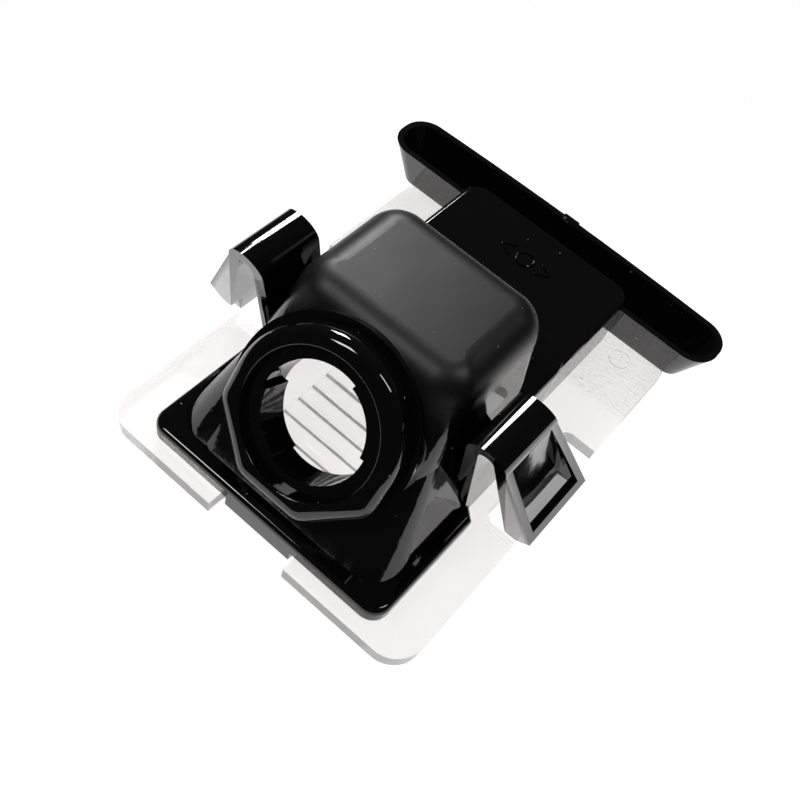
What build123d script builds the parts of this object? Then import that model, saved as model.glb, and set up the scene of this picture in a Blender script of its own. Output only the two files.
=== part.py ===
from build123d import *
import os
from math import cos, radians, sin, tan

os.makedirs("parts", exist_ok=True)

# A number-plate lamp: a clear lens plate, a black moulded housing with an inclined collar for a
# twist-in bulb holder, two snap clips and a hook rail. Millimetres, +Z up, +X towards the hook rail.
# The origin is the middle of the footprint, on the lens's outer face.

# ---- driving dimensions: lens
lens_length = 64.0
lens_width = 48.0
lens_thickness = 2.0
lens_corner = 4.0
clip_notch_start = 23.0        # from the lens's front edge
clip_notch_length = 19.0
clip_notch_depth = 5.0
tab_notch_width = 12.0
tab_notch_gap = 0.3            # behind the housing's front tab
notch_corner = 1.5
optic_width = 17.0
flute_pitch = 2.7
flute_count = 10
optic_start = 10.0             # from the lens's front edge
optic_height = 0.8
optic_edge = 0.4               # flat strip left round the flutes
gate_spot_radius = 1.6
gate_spot_height = 0.15
gate_spot_inset = 6.0          # from the lens's rear and side edges

# ---- driving dimensions: housing
wall = 1.8
flange_width = 37.0
flange_height = 2.2
flange_setback = 2.0           # from the lens's front edge
flange_length = 18.3
flange_corner = 2.4
flange_rear_slant = 3.7
body_width = 29.2
dome_height = 27.3             # above the lens's outer face
dome_top_rear = 35.2           # from the lens's front edge
dome_rear_draft = 3.0
dome_top_width = 24.0
dome_corner = 4.5
dome_edge = 4.0
shoulder_width = 35.0
shoulder_height = 20.0
shoulder_top_width = 24.0
shoulder_length = 21.0
shoulder_setback = 0.15        # behind the dome's front slope
shelf_end = 45.5               # from the lens's front edge
shelf_height = 11.6
shelf_corner = 4.5
soft_edge = 0.8
front_tab_width = 10.4
front_tab_thickness = 1.3
front_tab_clearance = 0.3      # above the lens's outer face

# ---- driving dimensions: bulb collar
collar_tilt = 30.5             # degrees, its axis above the horizontal
collar_face_x = 7.6            # middle of the collar's face, from the lens's front edge
collar_face_z = 18.1
collar_radius = 11.2
collar_height = 4.0            # face to the housing's slope
collar_lip = 1.6
collar_facet_corner = 3.0
base_ring_radius = 12.3
base_ring_height = 0.8
recess_radius = 8.9
recess_depth = 1.2
recess_rim_round = 0.2
bore_radius = 7.2
bore_length = 4.8
lug_count = 2
lug_angle = 70.0
lug_height = 0.5
lug_turn = 39.0

# ---- driving dimensions: back box and hook rail
box_end = 61.8                 # from the lens's front edge
box_height = 10.4
box_width = 28.6
box_wall = 1.6
box_corner = 2.8
rail_length = 57.0
rail_lap = 3.6                 # the rail's near side overlaps the back box by this much
rail_width = 8.4
rail_bow = 0.7
rail_top = 9.8
rail_bottom = 3.0
rail_taper = 1.7               # the rail's long sides lean in by this much
rail_end_taper = 3.0           # and its ends by this much
rail_corner = 3.8
rail_wall = 1.0
rail_floor = 1.2
rail_keel = 0.9                # rounding along the rail's underside
rail_corner_least = 0.5        # the smallest rounding of the rail's corners
gate_nub_width = 2.6
gate_nub_depth = 0.6
gate_nub_height = 0.5

# ---- driving dimensions: snap clips
strap = 1.6
bend_radius = 2.7              # outside of the U-bend
bend_y = 17.6
bend_z = 22.5
clip_width = 9.6
clip_start = 15.0              # at the bend, from the lens's front edge
clip_rake = 15.5               # degrees that the front edge leans back on its way down
clip_spread = 3.2              # how much wider the leg is at its hook
root_reach = 0.4               # the fixed leg leans out by this much at its foot
root_web_top = 13.0            # the fixed leg thickens towards the housing below this
root_web_drop = 2.0
leg_splay = 3.9                # the flexing leg's inner face moves out by this much at its hook
hook_z = 9.2
hook_reach = 2.3               # the hook stands out of the strap by this much
hook_slope = 1.9
gusset = 1.2
bar_height = 1.4
bar_depth = 1.0
tongue_length = 4.6
tongue_inset = 2.2
clip_running_gap = 0.05        # between the fixed and the flexing half of the bend

# ---- places worked out from the driving dimensions
rail_start = box_end - rail_lap
rail_end = rail_start + rail_width + rail_bow
front_x = -rail_end / 2
lens_mid_x = front_x + lens_length / 2
seat_z = lens_thickness
tab_notch_depth = flange_setback + front_tab_thickness + tab_notch_gap
tilt = radians(collar_tilt)
collar_axis = Vector(-cos(tilt), 0, sin(tilt))
collar_face = Vector(front_x + collar_face_x, 0, collar_face_z)


def collar_plane(offset):
    """A plane across the collar's axis, offset outwards from the collar's face."""
    return Plane(origin=collar_face + collar_axis * offset, x_dir=(0, -1, 0), z_dir=collar_axis)


def slope_x(z, inset=0):
    """Where the housing's front slope stands at height z, inset into the housing."""
    on_slope = collar_face - collar_axis * (collar_height + inset)
    return on_slope.X + (z - on_slope.Z) * tan(tilt)


def rail_outline(shrink, taper, end_taper):
    """The rail's bowed outline, made smaller all round."""
    half = rail_length / 2 - shrink - end_taper
    near = front_x + rail_start + shrink + taper
    far = front_x + rail_start + rail_width - shrink - taper
    with BuildSketch(mode=Mode.PRIVATE) as outline:
        with BuildLine():
            Polyline((far, half), (near, half), (near, -half), (far, -half))
            ThreePointArc((far, -half), (far + rail_bow, 0), (far, half))
        make_face()
        fillet(outline.vertices(), radius=max(rail_corner - shrink - taper, rail_corner_least))
    return outline.sketch


def tapered_block(levels, corner):
    """A round-cornered block lofted between levels of (height, low x, high x, width)."""
    with BuildPart(mode=Mode.PRIVATE) as block:
        for z, x_low, x_high, width in levels:
            with BuildSketch(Plane.XY.offset(z)):
                with Locations(((x_low + x_high) / 2, 0)):
                    RectangleRounded(x_high - x_low, width, corner)
        loft()
    return block.part


def dome_block(inset):
    """The dome, made smaller all round by inset."""
    top_z = dome_height - inset
    rear = front_x + dome_top_rear - inset
    return tapered_block(
        [
            (seat_z, slope_x(seat_z, inset), rear + dome_rear_draft, body_width - 2 * inset),
            (top_z, slope_x(top_z, inset), rear, dome_top_width - 2 * inset),
        ],
        dome_corner - inset,
    )


def shoulder_block(inset):
    """The wide shoulders at the dome's foot, made smaller all round by inset."""
    top_z = shoulder_height - inset
    rear = slope_x(seat_z) + shoulder_length - inset
    front_inset = inset + shoulder_setback
    return tapered_block(
        [
            (seat_z, slope_x(seat_z, front_inset), rear, shoulder_width - 2 * inset),
            (top_z, slope_x(top_z, front_inset), rear, shoulder_top_width - 2 * inset),
        ],
        dome_corner - inset,
    )


# ---- clear lens plate
with BuildPart() as lens_cover:
    with BuildSketch(Plane.XY):
        with Locations((lens_mid_x, 0)):
            RectangleRounded(lens_length, lens_width, lens_corner)
        with BuildSketch(mode=Mode.SUBTRACT) as notches:
            for side in (1, -1):
                with Locations((front_x + clip_notch_start + clip_notch_length / 2, side * lens_width / 2)):
                    RectangleRounded(clip_notch_length, 2 * clip_notch_depth, notch_corner)
            with Locations((front_x, 0)):
                RectangleRounded(2 * tab_notch_depth, tab_notch_width, notch_corner)
    extrude(amount=lens_thickness)
    with BuildSketch(Plane.XY.offset(lens_thickness)):
        with Locations((front_x + optic_start + flute_count * flute_pitch / 2, 0)):
            Rectangle(flute_count * flute_pitch + 2 * optic_edge, optic_width)
    extrude(amount=optic_height)
    first_flute = front_x + optic_start + flute_pitch / 2
    with BuildSketch(Plane.XZ.offset(-optic_width / 2)):
        for index in range(flute_count):
            with Locations((first_flute + index * flute_pitch, lens_thickness + optic_height)):
                Circle(flute_pitch / 2)
    extrude(amount=optic_width)
    with BuildSketch(Plane.XY.offset(lens_thickness)):
        with Locations((front_x + lens_length - gate_spot_inset, gate_spot_inset - lens_width / 2)):
            Circle(gate_spot_radius)
    extrude(amount=gate_spot_height)
lens_cover.part.label = "lens_cover"

# ---- outer shapes that the housing's pieces share
with BuildPart() as dome_outer:
    add(dome_block(0))
    add(shoulder_block(0))
    fillet(dome_outer.faces().sort_by(Axis.Z)[-1].edges(), radius=dome_edge)

with BuildPart() as dome_core:
    add(dome_block(wall))
    add(shoulder_block(wall))

with BuildPart() as collar_outer:
    with BuildSketch(collar_plane(-collar_height - wall)) as collar_outline:
        Circle(collar_radius)
        half = collar_radius * tan(radians(22.5))
        Polygon((-collar_radius, 0), (-collar_radius, -half), (-half, -collar_radius),
                (half, -collar_radius), (collar_radius, -half), (collar_radius, 0), align=None)
        facet_corners = collar_outline.vertices().filter_by(lambda corner: corner.Y < -half / 2)
        fillet(facet_corners, radius=collar_facet_corner)
    extrude(amount=collar_height + wall)
    fillet(collar_outer.faces().sort_by(Axis(collar_face, collar_axis))[-1].edges(), radius=collar_lip)
    with BuildSketch(collar_plane(-collar_height - wall)):
        Circle(base_ring_radius)
    extrude(amount=wall + base_ring_height)
    with BuildSketch(collar_plane(-recess_depth - bore_length)):
        Circle(bore_radius + wall)
    extrude(amount=bore_length)

# ---- housing shell: flange, dome and shelf, open underneath
flange_front = front_x + flange_setback
flange_rear = flange_front + flange_length
shelf_front = flange_rear + flange_rear_slant
shelf_rear = front_x + shelf_end
with BuildPart() as housing_shell:
    with BuildSketch(Plane.XY.offset(seat_z)):
        with BuildLine():
            Polyline(
                (flange_front, flange_width / 2),
                (flange_rear, flange_width / 2),
                (shelf_front, body_width / 2),
                (shelf_rear, body_width / 2),
                (shelf_rear, -body_width / 2),
                (shelf_front, -body_width / 2),
                (flange_rear, -flange_width / 2),
                (flange_front, -flange_width / 2),
                close=True,
            )
        make_face()
    extrude(amount=flange_height)
    fillet(housing_shell.edges().filter_by(Axis.Z).group_by(Axis.X)[0], radius=flange_corner)
    fillet(housing_shell.faces().sort_by(Axis.Z)[-1].edges(), radius=soft_edge)
    with BuildSketch(Plane.XY.offset(seat_z)):
        with Locations(((shelf_front + shelf_rear) / 2, 0)):
            Rectangle(shelf_rear - shelf_front, body_width)
    extrude(amount=shelf_height - seat_z)
    shelf_uprights = housing_shell.edges().filter_by(Axis.Z).group_by(Axis.X)[-1]
    fillet(shelf_uprights, radius=shelf_corner)
    fillet(housing_shell.faces().sort_by(Axis.Z)[-1].edges(), radius=soft_edge)
    with BuildSketch(Plane.XY.offset(seat_z)):
        with Locations((shelf_rear - shelf_corner / 2, 0)):
            Rectangle(shelf_corner, box_width)
    extrude(amount=box_height - seat_z)
    add(dome_outer.part)
    add(dome_core.part, mode=Mode.SUBTRACT)
    with BuildSketch(Plane.XY.offset(seat_z)):
        with Locations(((shelf_front + shelf_rear) / 2, 0)):
            Rectangle(shelf_rear - shelf_front - 2 * wall, body_width - 2 * wall)
    extrude(amount=shelf_height - seat_z - wall, mode=Mode.SUBTRACT)
    add(collar_outer.part, mode=Mode.SUBTRACT)
    with BuildSketch(Plane.XY.offset(front_tab_clearance)):
        with Locations((flange_front + front_tab_thickness / 2, 0)):
            Rectangle(front_tab_thickness, front_tab_width)
    extrude(amount=seat_z - front_tab_clearance)
housing_shell.part.label = "housing_shell"

# ---- bulb collar: stepped bore with lugs that hold a twist-in bulb holder
through_length = bore_length + collar_height + wall
with BuildPart() as bulb_collar:
    add(collar_outer.part)
    with BuildSketch(collar_plane(-recess_depth)):
        Circle(recess_radius)
    extrude(amount=recess_depth, mode=Mode.SUBTRACT)
    with BuildSketch(collar_plane(-recess_depth - through_length)):
        Circle(bore_radius)
    extrude(amount=through_length, mode=Mode.SUBTRACT)
    with BuildSketch(collar_plane(-recess_depth - bore_length)):
        Circle(bore_radius)
        Circle(bore_radius - lug_height, mode=Mode.SUBTRACT)
        with BuildSketch(mode=Mode.INTERSECT):
            with PolarLocations(0, lug_count, start_angle=lug_turn):
                reach = bore_radius * 2
                spread = reach * tan(radians(lug_angle / 2))
                Polygon((0, 0), (reach, -spread), (reach, spread), align=None)
    extrude(amount=bore_length)
    inner_rim = bulb_collar.edges().filter_by(GeomType.CIRCLE)
    inner_rim = inner_rim.filter_by(lambda edge: abs(edge.radius - recess_radius) < 0.01)
    fillet(inner_rim.sort_by(Axis(collar_face, collar_axis))[-1], radius=recess_rim_round)
bulb_collar.part.label = "bulb_collar"

# ---- back box behind the shelf, open underneath
box_front = shelf_rear
box_rear = front_x + box_end
box_length = box_rear - box_front
with BuildPart() as box_outer:
    with BuildSketch(Plane.XY.offset(seat_z)):
        with Locations(((box_front + box_rear) / 2, 0)):
            Rectangle(box_length, box_width)
    extrude(amount=box_height - seat_z)
    fillet(box_outer.edges().filter_by(Axis.Z).group_by(Axis.X)[-1], radius=box_corner)
    top_rim = box_outer.faces().sort_by(Axis.Z)[-1].edges().sort_by(Axis.X)[1:]
    fillet(top_rim, radius=soft_edge)

with BuildPart() as back_box:
    add(box_outer.part)
    with BuildSketch(Plane.XY.offset(seat_z)):
        with Locations(((box_front + box_rear) / 2, 0)):
            Rectangle(box_length - 2 * box_wall, box_width - 2 * box_wall)
    extrude(amount=box_height - seat_z - box_wall, mode=Mode.SUBTRACT)
back_box.part.label = "back_box"

# ---- hook rail: a long trough, open upwards, that hooks behind the panel
with BuildPart() as hook_rail:
    with BuildSketch(Plane.XY.offset(rail_bottom)):
        add(rail_outline(0, rail_taper, rail_end_taper))
    with BuildSketch(Plane.XY.offset(rail_top)):
        add(rail_outline(0, 0, 0))
    loft()
    fillet(hook_rail.faces().sort_by(Axis.Z)[0].edges(), radius=rail_keel)
    with BuildSketch(Plane.XY.offset(rail_bottom + rail_floor)):
        add(rail_outline(rail_wall, rail_taper, rail_end_taper))
    with BuildSketch(Plane.XY.offset(rail_top)):
        add(rail_outline(rail_wall, 0, 0))
    loft(mode=Mode.SUBTRACT)
    with BuildSketch(Plane.XY.offset(rail_top)):
        with Locations((front_x + rail_end - rail_wall / 2, 0)):
            Rectangle(gate_nub_depth, gate_nub_width)
    extrude(amount=gate_nub_height)
    add(box_outer.part, mode=Mode.SUBTRACT)
hook_rail.part.label = "hook_rail"

# ---- snap clips: a fixed leg on the housing and a flexing leg, joined by a U-bend
bend_inner = bend_radius - strap
clip_front = front_x + clip_start
clip_top = bend_z + bend_radius
hook_foot = hook_z - hook_slope
rake = tan(radians(clip_rake))
leg_inner_y = bend_y + bend_inner
splay = leg_splay / (bend_z - hook_foot)
body_side = body_width / 2


def strap_y(z):
    """The flexing leg's outer face at height z."""
    return leg_inner_y + strap + (bend_z - z) * splay


def side_outline(z_low, z_high, spread, inset):
    """The clip's corners seen from the side: it leans back and widens by spread down to the hook."""
    corners = []
    for z in (z_high, z_low):
        drop = clip_top - z
        widening = spread * drop / (clip_top - hook_foot)
        left = clip_front + drop * rake
        corners.append(((left + inset, z), (left + clip_width + widening - inset, z)))
    (top_left, top_right), (low_left, low_right) = corners
    return [top_left, top_right, low_right, low_left]


def half_bend(side):
    """Half of the U-bend's ring: side 1 is the outer half, side -1 the inner half."""
    with BuildSketch(mode=Mode.PRIVATE) as ring:
        with Locations((bend_y, bend_z)):
            Circle(bend_radius)
            Circle(bend_inner, mode=Mode.SUBTRACT)
        low = bend_y + side * clip_running_gap / 2
        high = bend_y + side * bend_radius
        with BuildSketch(mode=Mode.INTERSECT):
            Polygon((low, bend_z), (high, bend_z), (high, clip_top), (low, clip_top), align=None)
    return ring.sketch


with BuildPart() as clip_root_left:
    with BuildSketch(Plane.YZ.offset(front_x)):
        add(half_bend(-1))
        Polygon(
            (bend_y - bend_radius, bend_z),
            (bend_y - bend_radius, root_web_top),
            (body_side - wall / 2, root_web_top - root_web_drop),
            (body_side - wall / 2, seat_z),
            (bend_y - bend_inner + root_reach, seat_z),
            (bend_y - bend_inner, bend_z),
            align=None,
        )
    extrude(amount=rail_end)
    with BuildSketch(Plane.XZ):
        Polygon(*side_outline(seat_z, clip_top, 0, 0), align=None)
    extrude(amount=lens_width, both=True, mode=Mode.INTERSECT)
    add(dome_outer.part, mode=Mode.SUBTRACT)
    add(housing_shell.part, mode=Mode.SUBTRACT)
clip_root_left.part.label = "clip_root_left"

with BuildPart() as gussets:
    with BuildSketch(Plane.YZ.offset(front_x)):
        Polygon(
            (strap_y(bend_z), bend_z),
            (strap_y(hook_z) + hook_reach, hook_z),
            (strap_y(hook_foot), hook_foot),
            align=None,
        )
    extrude(amount=rail_end)
    with BuildSketch(Plane.XZ):
        Polygon(*side_outline(hook_foot, bend_z, clip_spread, 0), align=None)
        Polygon(*side_outline(hook_foot, bend_z, clip_spread, gusset), align=None, mode=Mode.SUBTRACT)
    extrude(amount=lens_width, both=True, mode=Mode.INTERSECT)

with BuildPart() as hook_bar:
    with BuildSketch(Plane.YZ.offset(front_x)):
        tip_y = strap_y(hook_z) + hook_reach
        lean = (tip_y - strap_y(bend_z)) / (bend_z - hook_z)
        Polygon(
            (tip_y, hook_z),
            (tip_y - bar_height * lean, hook_z + bar_height),
            (tip_y - bar_height * lean - bar_depth, hook_z + bar_height),
            (tip_y - bar_depth, hook_z - hook_slope * bar_depth / hook_reach),
            align=None,
        )
    extrude(amount=rail_end)
    with BuildSketch(Plane.XZ):
        Polygon(*side_outline(hook_foot, bend_z, clip_spread, 0), align=None)
    extrude(amount=lens_width, both=True, mode=Mode.INTERSECT)

with BuildPart() as clip_leg_left:
    with BuildSketch(Plane.YZ.offset(front_x)):
        add(half_bend(1))
        tongue_z = hook_foot - tongue_length
        Polygon(
            (leg_inner_y, bend_z),
            (strap_y(bend_z), bend_z),
            (strap_y(tongue_z), tongue_z),
            (strap_y(tongue_z) - strap, tongue_z),
            align=None,
        )
    extrude(amount=rail_end)
    with BuildSketch(Plane.XZ):
        Polygon(*side_outline(hook_foot, clip_top, clip_spread, 0), align=None)
        Polygon(*side_outline(tongue_z, hook_foot, clip_spread, tongue_inset), align=None)
    extrude(amount=lens_width, both=True, mode=Mode.INTERSECT)
    add(gussets.part)
    add(hook_bar.part)
clip_leg_left.part.label = "clip_leg_left"

with BuildPart() as clip_root_right:
    add(mirror(clip_root_left.part, about=Plane.XZ))
clip_root_right.part.label = "clip_root_right"

with BuildPart() as clip_leg_right:
    add(mirror(clip_leg_left.part, about=Plane.XZ))
clip_leg_right.part.label = "clip_leg_right"

pieces = (
    lens_cover,
    housing_shell,
    bulb_collar,
    back_box,
    hook_rail,
    clip_root_left,
    clip_root_right,
    clip_leg_left,
    clip_leg_right,
)
for piece in pieces:
    export_step(piece.part, f"parts/{piece.part.label}.step")
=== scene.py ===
# %% [markdown]
# # A number-plate lamp in gloss black and clear plastic
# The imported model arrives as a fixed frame: each moulded piece is already where it belongs, in metres.
# Blender's job is the looks: the light, the floor, the finishes, and small details that sit on the
# mouldings. Nothing from the frame is moved. We start by loading it and asking how big it is.

# %% Load the frame
import math
import random

import bmesh
import bpy
from mathutils import Matrix, Vector


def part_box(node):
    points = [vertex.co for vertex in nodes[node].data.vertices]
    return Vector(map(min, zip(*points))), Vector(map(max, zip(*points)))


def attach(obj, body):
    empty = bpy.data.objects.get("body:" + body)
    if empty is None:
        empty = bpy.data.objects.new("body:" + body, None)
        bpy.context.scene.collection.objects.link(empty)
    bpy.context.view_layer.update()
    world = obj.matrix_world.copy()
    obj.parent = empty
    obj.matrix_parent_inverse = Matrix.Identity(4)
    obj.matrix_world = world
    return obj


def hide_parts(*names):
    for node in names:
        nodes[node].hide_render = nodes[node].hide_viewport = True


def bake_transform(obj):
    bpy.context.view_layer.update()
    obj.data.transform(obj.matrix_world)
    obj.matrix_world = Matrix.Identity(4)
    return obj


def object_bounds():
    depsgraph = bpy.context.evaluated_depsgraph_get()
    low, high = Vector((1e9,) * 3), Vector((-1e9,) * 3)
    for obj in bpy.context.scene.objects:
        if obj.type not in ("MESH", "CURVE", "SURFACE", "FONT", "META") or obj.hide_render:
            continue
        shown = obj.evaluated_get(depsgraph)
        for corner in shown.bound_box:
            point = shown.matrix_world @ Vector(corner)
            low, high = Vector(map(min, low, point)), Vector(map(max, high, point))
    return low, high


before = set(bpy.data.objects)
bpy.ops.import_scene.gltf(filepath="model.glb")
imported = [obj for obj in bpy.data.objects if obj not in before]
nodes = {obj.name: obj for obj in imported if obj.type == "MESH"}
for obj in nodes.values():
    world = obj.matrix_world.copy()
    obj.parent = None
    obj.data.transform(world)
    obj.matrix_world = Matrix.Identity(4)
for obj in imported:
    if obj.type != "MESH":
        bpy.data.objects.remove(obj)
MM = 0.001
cad_low, cad_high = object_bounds()
lamp_size = cad_high - cad_low
print("lamp size in mm:", [round(side / MM, 2) for side in lamp_size])

# %% [markdown]
# Sizes that the details need are read back from the frame, so they follow the model when it is
# packed again. A node's box gives its lowest and highest corners.

# %% Places read from the frame
lens_low, lens_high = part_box("lens_cover")
shell_low, shell_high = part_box("housing_shell")
box_low, box_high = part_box("back_box")
rail_low, rail_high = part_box("hook_rail")
print("lens top at", round(lens_high.z / MM, 2), "mm; dome top at", round(shell_high.z / MM, 2), "mm")

# %% [markdown]
# ## Writing shader maths as expressions
# A node tree is a calculation, but wiring Math nodes by hand hides it. This small class wraps one
# socket. Its operators add the Math nodes, so `1 - mask * 0.5` reads like any other Python.
# Numbers alone are never turned into nodes. Every other node comes from one function, `node`, which
# takes the node's type, its settings, and then the value or link of each socket.


# %% A socket that does arithmetic
class Sock:
    def __init__(self, tree, socket):
        self.tree = tree
        self.socket = socket

    def _math(self, operation, other=None, first=None):
        left = self if first is None else first
        inputs = {0: left}
        if other is not None:
            inputs[1] = other
        return node(self.tree, "ShaderNodeMath", {"operation": operation}, inputs)

    def __add__(self, other):
        return self._math("ADD", other)

    __radd__ = __add__

    def __mul__(self, other):
        return self._math("MULTIPLY", other)

    __rmul__ = __mul__

    def __sub__(self, other):
        return self._math("SUBTRACT", other)

    def __rsub__(self, other):
        return self._math("SUBTRACT", self, first=other)

    def __lt__(self, other):
        return self._math("LESS_THAN", other)

    def at_least(self, other):
        return self._math("MAXIMUM", other)

    def ramp(self, start, end):
        """0 before start, 1 after end, smooth between them."""
        return node(
            self.tree,
            "ShaderNodeMapRange",
            {"interpolation_type": "SMOOTHSTEP"},
            {"Value": self, "From Min": start, "From Max": end},
        )


def node(tree, kind, settings=None, inputs=None, output=0):
    """Adds one node: its settings first, then each socket's value or link. Gives one output back."""
    made = tree.nodes.new(kind)
    for name, value in (settings or {}).items():
        setattr(made, name, value)
    for name, value in (inputs or {}).items():
        if isinstance(value, Sock):
            tree.links.new(value.socket, made.inputs[name])
        else:
            made.inputs[name].default_value = value
    return Sock(tree, made.outputs[output])


print("shader helpers ready")

# %% [markdown]
# ## Where a point is on the lamp
# The finishes vary from place to place: the dome's top is satin, the lens has a grained corner.
# The Geometry node's Position gives the place. It would slide when a clip moves, so the texture
# coordinate Object is used: it belongs to the piece and travels with it.


# %% Coordinates and colour helpers
OBJECT_COORDINATES = 3   # the output of the Texture Coordinate node that travels with the piece


def place_on_piece(tree):
    return node(tree, "ShaderNodeTexCoord", output=OBJECT_COORDINATES)


def split(tree, vector):
    parts = node(tree, "ShaderNodeSeparateXYZ", inputs={0: vector})
    owner = parts.socket.node
    return [Sock(tree, owner.outputs[axis]) for axis in range(3)]


def stretched(tree, vector, scale):
    return node(tree, "ShaderNodeVectorMath", {"operation": "MULTIPLY"}, {0: vector, 1: scale})


def noise(tree, vector, per_metre, detail=3.0, rough=0.5):
    values = {"Vector": vector, "Scale": per_metre, "Detail": detail, "Roughness": rough}
    return node(tree, "ShaderNodeTexNoise", inputs=values)


MIX_FACTOR, MIX_LOW, MIX_HIGH, MIX_RESULT = 0, 6, 7, 2   # the Mix node's colour sockets


def mix_colour(tree, factor, low, high):
    inputs = {MIX_FACTOR: factor, MIX_LOW: low, MIX_HIGH: high}
    return node(tree, "ShaderNodeMix", {"data_type": "RGBA"}, inputs, MIX_RESULT)


def bump(tree, height, strength, distance, under=None):
    inputs = {"Strength": strength, "Distance": distance, "Height": height}
    if under is not None:
        inputs["Normal"] = under
    return node(tree, "ShaderNodeBump", inputs=inputs)


def finish_named(name):
    """A new material with only a Principled shader, ready for its values."""
    material = bpy.data.materials.new(name)
    material.use_nodes = True
    tree = material.node_tree
    return material, tree, tree.nodes["Principled BSDF"]


def plug(shader, name, value):
    if isinstance(value, Sock):
        value.tree.links.new(value.socket, shader.inputs[name])
    else:
        shader.inputs[name].default_value = value


print("colour, noise and bump helpers ready")

# %% [markdown]
# ## Dust
# Gloss black shows every speck of dust. A Voronoi texture gives scattered cell centres. The
# distance to the nearest centre makes a round dot, and the cell's own random colour decides whether
# the cell holds a speck at all, and how big it is. Two sizes of cell mix fine and coarse dust.


# %% Dust specks and lint
def specks(tree, vector, per_metre, radius, share):
    """1 on a speck, 0 elsewhere. share is how many of the cells hold one."""
    values = {"Vector": vector, "Scale": per_metre}
    centre = node(tree, "ShaderNodeTexVoronoi", inputs=values)
    chance = node(tree, "ShaderNodeTexVoronoi", inputs=values, output=1)
    red, green, _ = split(tree, chance)
    smallest = radius * 0.4
    return (red < share) * (centre < green * radius + smallest)


def dust_mask(tree, vector):
    wobble = noise(tree, vector, 2500.0, 2.0)
    shift = node(tree, "ShaderNodeVectorMath", {"operation": "SCALE"}, {0: wobble, "Scale": 0.0001})
    ragged = node(tree, "ShaderNodeVectorMath", {"operation": "ADD"}, {0: vector, 1: shift})
    fine = specks(tree, ragged, 620.0, 0.065, 0.22)
    coarse = specks(tree, ragged, 240.0, 0.040, 0.14)
    return fine.at_least(coarse)


print("dust ready")

# %% [markdown]
# ## Gloss black moulding
# The real housing is injection-moulded black plastic. Its skin is glossy, but never flat like a
# mirror: it flows a little where the plastic shrank, it is finely sanded here and there, and dust
# sits on it. So the base colour is nearly black, roughness is low with faint cloudy patches, and a
# very gentle bump bends the reflections. The top of the dome is satin, since that face of the
# mould was left unpolished.


# %% Gloss black
BLACK = (0.0035, 0.0033, 0.0034, 1.0)
DUST_GREY = (0.32, 0.31, 0.30, 1.0)
POLISHED = 0.035          # roughness of the polished mould
SATIN = 0.40              # what the unpolished face of the mould adds
DUSTY = 0.5               # what a speck of dust adds


def black_moulding(name, satin=None):
    material, tree, shader = finish_named(name)
    spot = place_on_piece(tree)
    clouds = noise(tree, spot, 160.0, 4.0)
    rubbed = noise(tree, stretched(tree, spot, (700.0, 90.0, 90.0)), 6.0, 3.0)
    dust = dust_mask(tree, spot)
    roughness = clouds.ramp(0.35, 0.8) * 0.04 + rubbed.ramp(0.55, 0.8) * 0.03 + POLISHED
    if satin is not None:
        roughness = roughness + satin(tree, spot) * SATIN
    plug(shader, "Base Color", mix_colour(tree, dust, BLACK, DUST_GREY))
    plug(shader, "Roughness", roughness + dust * DUSTY)
    plug(shader, "IOR", 1.55)
    sink = bump(tree, noise(tree, spot, 70.0, 2.0), 0.10, 0.0012)
    skin = bump(tree, noise(tree, spot, 900.0, 2.0), 0.05, 0.0001, under=sink)
    plug(shader, "Normal", bump(tree, dust, 0.4, 0.00005, under=skin))
    return material


def dome_top(tree, spot):
    """1 on the dome's top, fading to 0 down its rounded edge."""
    _, _, up = split(tree, spot)
    return up.ramp(shell_high.z - 7.0 * MM, shell_high.z - 2.0 * MM)


gloss_black = black_moulding("gloss_black")
shell_black = black_moulding("shell_black", satin=dome_top)
print("made", gloss_black.name, "and", shell_black.name)

# %% [markdown]
# ## Clear plastic
# The lens is clear polycarbonate. Transmission with a little alpha keeps it light on a pale floor,
# where pure glass would throw a dark shadow. The skin carries faint flow waves, and one rear corner
# is grained by the mould. That corner also has a round gate spot, which is not drawn here. The grain
# is a product of two ramps, one along the lens and one across it, so it fades out instead of ending at a
# line.

# %% Clear lens
CLEAR = (0.87, 0.848, 0.832, 1.0)


def clear_plastic():
    material, tree, shader = finish_named("clear_plastic")
    spot = place_on_piece(tree)
    along, across, _ = split(tree, spot)
    rear = along.ramp(lens_high.x - 16.0 * MM, lens_high.x - 13.0 * MM)
    side = (0.0 - across).ramp(8.0 * MM, 15.0 * MM)
    grained = rear * side
    grain = noise(tree, spot, 1500.0, 3.0, 0.6)
    waves = noise(tree, spot, 120.0, 2.0)
    plug(shader, "Base Color", CLEAR)
    plug(shader, "Roughness", grained * 0.22 + noise(tree, spot, 200.0, 3.0) * 0.05 + 0.01)
    plug(shader, "IOR", 1.49)
    plug(shader, "Transmission Weight", 1.0)
    plug(shader, "Alpha", 0.85)
    flow = bump(tree, waves, 0.15, 0.0006)
    plug(shader, "Normal", bump(tree, grain * grained, 0.8, 0.00025, under=flow))
    return material


clear = clear_plastic()
print("made", clear.name)

# %% [markdown]
# Each frame node takes its finish through its material slots. A mould never leaves a knife edge, and
# a clear plate shows its rounded edges as thin lines. The edges could be modelled round, but a narrow
# Bevel modifier on the lens does it without touching the frame's mesh.


# %% Dress the frame nodes
def wear(obj, material):
    obj.data.materials.clear()
    obj.data.materials.append(material)


def soften_edges(obj, width, angle=35.0):
    bevel = obj.modifiers.new("moulded_edges", "BEVEL")
    bevel.width = width
    bevel.segments = 2
    bevel.limit_method = "ANGLE"
    bevel.angle_limit = math.radians(angle)


black_nodes = [name for name in sorted(nodes) if name != "lens_cover"]
for name in black_nodes:
    wear(nodes[name], shell_black if name == "housing_shell" else gloss_black)
wear(nodes["lens_cover"], clear)
soften_edges(nodes["lens_cover"], 0.35 * MM)
print("dressed", len(black_nodes) + 1, "nodes")
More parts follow.
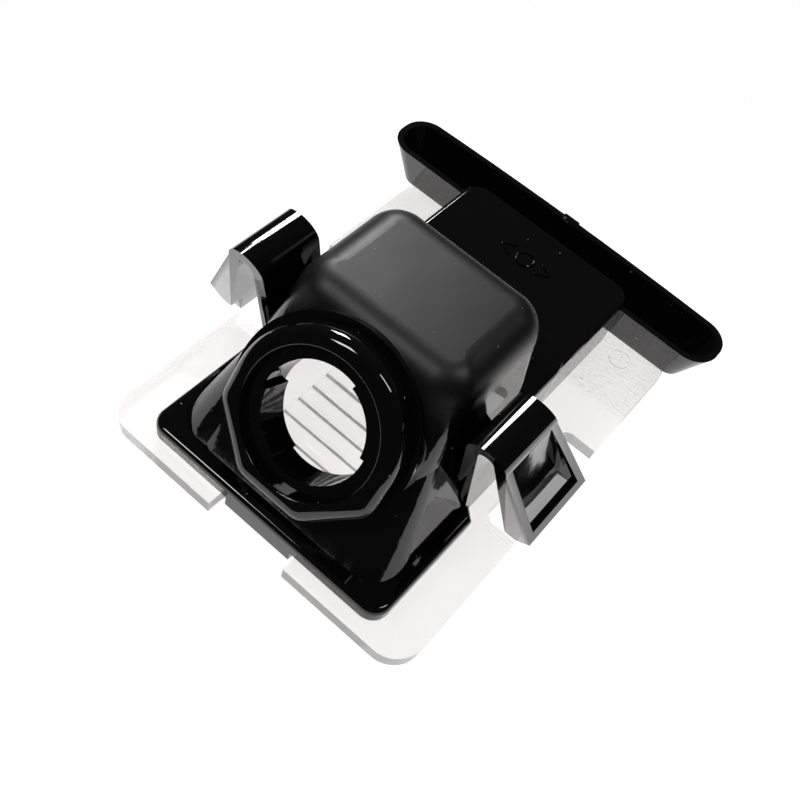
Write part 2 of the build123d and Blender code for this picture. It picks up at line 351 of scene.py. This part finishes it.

# %% [markdown]
# ## Clips welded into one strap
# On the real lamp each snap clip is one strap, and it bends along its whole U-bend. In the frame the
# strap is cut in two at the crown, so that a hinge can move one half. Left like that, the crown
# would gape when the clip is squeezed. So both halves are copied into one mesh, the two cut faces
# are taken away, and the rims are welded. The welded mesh is then baked in place, and the two frame
# halves are hidden.

# %% Weld the two halves of a clip
CUT_GAP = 0.05 * MM
SAME_POINT = 0.002 * MM        # points nearer than this are one point
CUT_REACH = 1.3 * CUT_GAP      # what lies this near the cut belongs to it
WELD_REACH = 1.6 * CUT_GAP     # rim points nearer than this are welded
SHARP_ANGLE = 30.0             # degrees


def crown_line(side):
    """How far from the lamp's middle the two halves meet."""
    leg_low, leg_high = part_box("clip_leg_" + side)
    return leg_low.y if side == "left" else leg_high.y


def welded_clip(side):
    cut = crown_line(side)
    work = bmesh.new()
    for part in ("clip_root_", "clip_leg_"):
        work.from_mesh(nodes[part + side].data)
    bmesh.ops.remove_doubles(work, verts=work.verts, dist=SAME_POINT)

    def at_cut(vert):
        return abs(vert.co.y - cut) < CUT_REACH

    cut_faces = [face for face in work.faces if all(at_cut(vert) for vert in face.verts)]
    bmesh.ops.delete(work, geom=cut_faces, context="FACES")
    rim = [vert for vert in work.verts if vert.is_boundary and at_cut(vert)]
    rim_points = len(rim)
    bmesh.ops.remove_doubles(work, verts=rim, dist=WELD_REACH)
    bmesh.ops.holes_fill(work, edges=[edge for edge in work.edges if edge.is_boundary], sides=0)
    bmesh.ops.recalc_face_normals(work, faces=work.faces)
    open_edges = sum(1 for edge in work.edges if edge.is_boundary)
    mesh = bpy.data.meshes.new("snap_clip_" + side)
    work.to_mesh(mesh)
    work.free()
    clip = bpy.data.objects.new("snap_clip_" + side, mesh)
    bpy.context.scene.collection.objects.link(clip)
    mesh.shade_smooth()
    mesh.set_sharp_from_angle(angle=math.radians(SHARP_ANGLE))
    print(clip.name, "rim points", rim_points, "open edges left", open_edges)
    return clip


def blend_clip(clip, side):
    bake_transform(clip)
    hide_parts("clip_root_" + side, "clip_leg_" + side)


for side in ("left", "right"):
    clip = welded_clip(side)
    wear(clip, gloss_black)
    blend_clip(clip, side)

# %% [markdown]
# ## A raised mark left by the mould
# The back box has a small raised mark. Here it is a plain ring between two chevrons, with no
# letters. It could be a bump in the finish, but a bump has no edge that catches the light, so it is
# a thin raised ribbon: four points across at each step of the line, joined into closed walls.

# %% A raised mark on the back box
MARK_LINE = 0.34 * MM
MARK_RISE = 0.22 * MM
MARK_ROOT = 0.05 * MM      # how deep the ribbon stands in the box
MARK_BACK = 1.0 * MM       # the mark sits behind the box's middle by this much
MARK_EDGE = 0.09 * MM      # rounding of its edges
RING_STEPS = 28
RING_RADIUS = 1.3 * MM
TIP_REACH = 2.3 * MM
ARM_REACH = 4.1 * MM
ARM_SPREAD = 1.2 * MM


def strip(work, points, closed, z_low, z_high, half_width):
    """A flat raised line along points, as a closed ribbon with walls."""
    count = len(points)
    corners = 4
    rows = []
    for index, point in enumerate(points):
        before = points[index - 1] if closed or index else point
        after = points[(index + 1) % count] if closed or index < count - 1 else point
        along = (after - before).normalized()
        side_way = Vector((-along.y, along.x)) * half_width
        low = point - side_way
        high = point + side_way
        rows.append([work.verts.new((p.x, p.y, z)) for p, z in
                     ((low, z_low), (low, z_high), (high, z_high), (high, z_low))])
    last = count if closed else count - 1
    for index in range(last):
        here = rows[index]
        there = rows[(index + 1) % count]
        for corner in range(corners):
            following = (corner + 1) % corners
            work.faces.new((here[corner], there[corner], there[following], here[following]))
    if not closed:
        work.faces.new(rows[0])
        work.faces.new(reversed(rows[-1]))


def box_mark():
    centre = Vector(((box_low.x + box_high.x) / 2 + MARK_BACK, 0.0))
    z_low = box_high.z - MARK_ROOT
    z_high = box_high.z + MARK_RISE
    work = bmesh.new()
    turns = [step * math.tau / RING_STEPS for step in range(RING_STEPS)]
    ring = [centre + Vector((math.cos(turn), math.sin(turn))) * RING_RADIUS for turn in turns]
    strip(work, ring, True, z_low, z_high, MARK_LINE / 2)
    for way in (1, -1):
        tip = centre + Vector((0.0, way * ARM_REACH))
        arms = [centre + Vector((reach * ARM_SPREAD, way * TIP_REACH)) for reach in (-1, 1)]
        strip(work, [arms[0], tip, arms[1]], False, z_low, z_high, MARK_LINE / 2)
    bmesh.ops.recalc_face_normals(work, faces=work.faces)
    mesh = bpy.data.meshes.new("box_mark")
    work.to_mesh(mesh)
    work.free()
    mark = bpy.data.objects.new("box_mark", mesh)
    bpy.context.scene.collection.objects.link(mark)
    wear(mark, gloss_black)
    soften_edges(mark, MARK_EDGE)
    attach(mark, "housing")
    print("mark", len(mesh.polygons), "faces")
    return mark


box_mark()

# %% [markdown]
# ## The torn feed stub
# The rail's far rim carries the stub where the plastic was fed in and then broken off. A torn piece
# has no profile to draw, so it starts as a sphere, is squashed along the rim, and each of its points
# is pushed in or out a little. The random numbers have a fixed seed, so the stub is always the same.


# %% The torn feed stub on the rail
STUB_HALF = Vector((0.75, 1.6, 0.5)) * MM    # half of its size along each axis
STUB_BACK = 0.9 * MM                         # its middle, from the rail's far edge
STUB_DROP = 0.40 * MM                        # and below the rail's highest point
STUB_SEED = 7


def feed_stub():
    """A ragged lump on the rail's rim. Its points are jittered with a fixed seed."""
    chance = random.Random(STUB_SEED)
    middle = Vector((rail_high.x - STUB_BACK, 0.0, rail_high.z - STUB_DROP))
    work = bmesh.new()
    bmesh.ops.create_icosphere(work, subdivisions=3, radius=1.0)
    for vert in work.verts:
        rough = 1.0 + chance.uniform(-0.22, 0.12)
        vert.co = middle + Vector(a * b for a, b in zip(vert.co, STUB_HALF)) * rough
    mesh = bpy.data.meshes.new("feed_stub")
    work.to_mesh(mesh)
    work.free()
    stub = bpy.data.objects.new("feed_stub", mesh)
    bpy.context.scene.collection.objects.link(stub)
    wear(stub, gloss_black)
    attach(stub, "housing")
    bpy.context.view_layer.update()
    return stub


feed_stub()

# %% [markdown]
# ## Floor
# The lamp lies on pale paper, lit until it is almost white. The paper glows a little by itself,
# which fills the shadows as a light table would. It is only a small square: beyond it the world is
# just as pale to the eye, but dark to a reflection, so the gloss black stays black where it reflects
# the horizon.

# %% Floor
PAPER_LOW = (0.44, 0.435, 0.44, 1.0)
PAPER_HIGH = (0.47, 0.465, 0.47, 1.0)
PAPER_GLOW = 0.95
PAPER_TINT = (1.0, 0.99, 0.995, 1.0)
FLOOR_HALF_SIDE = 0.085
FLOOR_DROP = 0.02 * MM     # below the lens, so that the two faces don't meet


def make_floor(half_side):
    mesh = bpy.data.meshes.new("studio_floor")
    corners = [(-1, -1), (1, -1), (1, 1), (-1, 1)]
    mesh.from_pydata([(x * half_side, y * half_side, 0) for x, y in corners], [], [(0, 1, 2, 3)])
    floor = bpy.data.objects.new("studio_floor", mesh)
    bpy.context.scene.collection.objects.link(floor)
    material, tree, shader = finish_named("pale_paper")
    spot = place_on_piece(tree)
    shade = noise(tree, spot, 20.0, 3.0)
    plug(shader, "Base Color", mix_colour(tree, shade, PAPER_LOW, PAPER_HIGH))
    plug(shader, "Roughness", 0.9)
    plug(shader, "Emission Color", PAPER_TINT)
    plug(shader, "Emission Strength", PAPER_GLOW)
    floor.data.materials.append(material)
    floor.location.z = -FLOOR_DROP
    return floor


floor = make_floor(FLOOR_HALF_SIDE)
print("floor laid")

# %% [markdown]
# ## Lights
# A black gloss surface shows the lights as shapes, so their size and place matter more than their
# power. A light is seen in a face where the face mirrors it to the camera. The large window behind
# stands just beside that direction for the dome's top, so the satin top glows while the flat gloss
# faces stay black. Two narrow windows draw the thin lines on the clips and the collar.

# %% Lights
LIGHT_AIM = Vector((0.0, 0.0, 10 * MM))
LIGHT_DISTANCE = 0.8


def soft_box(name, azimuth, elevation, width, height, power):
    """A rectangular area light that looks at the lamp from the given direction, in degrees."""
    light = bpy.data.lights.new(name, "AREA")
    light.shape = "RECTANGLE"
    light.size = width
    light.size_y = height
    light.energy = power
    obj = bpy.data.objects.new(name, light)
    bpy.context.scene.collection.objects.link(obj)
    turn = math.radians(azimuth)
    rise = math.radians(elevation)
    out = Vector((math.cos(turn) * math.cos(rise), math.sin(turn) * math.cos(rise), math.sin(rise)))
    obj.location = LIGHT_AIM + out * LIGHT_DISTANCE
    obj.rotation_euler = (-out).to_track_quat("-Z", "Y").to_euler()
    return obj


soft_box("window_back", 45, 38, 0.22, 0.18, 4.0)
soft_box("window_left", 140, 55, 0.10, 0.30, 1.4)
soft_box("window_right", -60, 62, 0.06, 0.30, 0.9)
print("three soft boxes")

# %% [markdown]
# The world is what lies beyond the paper. Light Path says whether a ray comes straight from the
# camera: then the world is white, and for every other ray it is nearly dark.

# %% World
WORLD_DARK = 0.03
WORLD_SEEN = 0.97

world = bpy.data.worlds.new("studio")
world.use_nodes = True
studio = world.node_tree
backdrop = studio.nodes["Background"]
backdrop.inputs["Color"].default_value = PAPER_TINT
seen = node(studio, "ShaderNodeLightPath")
studio.links.new((seen * WORLD_SEEN + WORLD_DARK).socket, backdrop.inputs["Strength"])
bpy.context.scene.world = world
bpy.context.scene.view_settings.view_transform = "Standard"
print("world", world.name)

# %% [markdown]
# The camera stands in front and to the right of the lamp, well above it, and is rolled so that the
# lamp lies across the frame. It is given by its place, the point it looks at, and its roll.

# %% Camera
CAMERA_PLACE = Vector((-78.63, -31.42, 112.44)) * MM
CAMERA_AIM = Vector((-8.99, -2.12, 8.0)) * MM
CAMERA_ROLL = 20.26
LENS_MM = 46.32

camera_data = bpy.data.cameras.new("camera")
camera_data.lens = LENS_MM
camera_data.sensor_width = 36.0
camera_data.clip_start = 0.005
camera_data.clip_end = 10.0
camera = bpy.data.objects.new("camera", camera_data)
bpy.context.scene.collection.objects.link(camera)
facing = (CAMERA_AIM - CAMERA_PLACE).to_track_quat("-Z", "Y").to_matrix().to_4x4()
roll = Matrix.Rotation(math.radians(CAMERA_ROLL), 4, "Z")
camera.matrix_world = Matrix.Translation(CAMERA_PLACE) @ facing @ roll
bpy.context.scene.camera = camera
print("camera", round((CAMERA_AIM - CAMERA_PLACE).length / MM), "mm from the lamp")
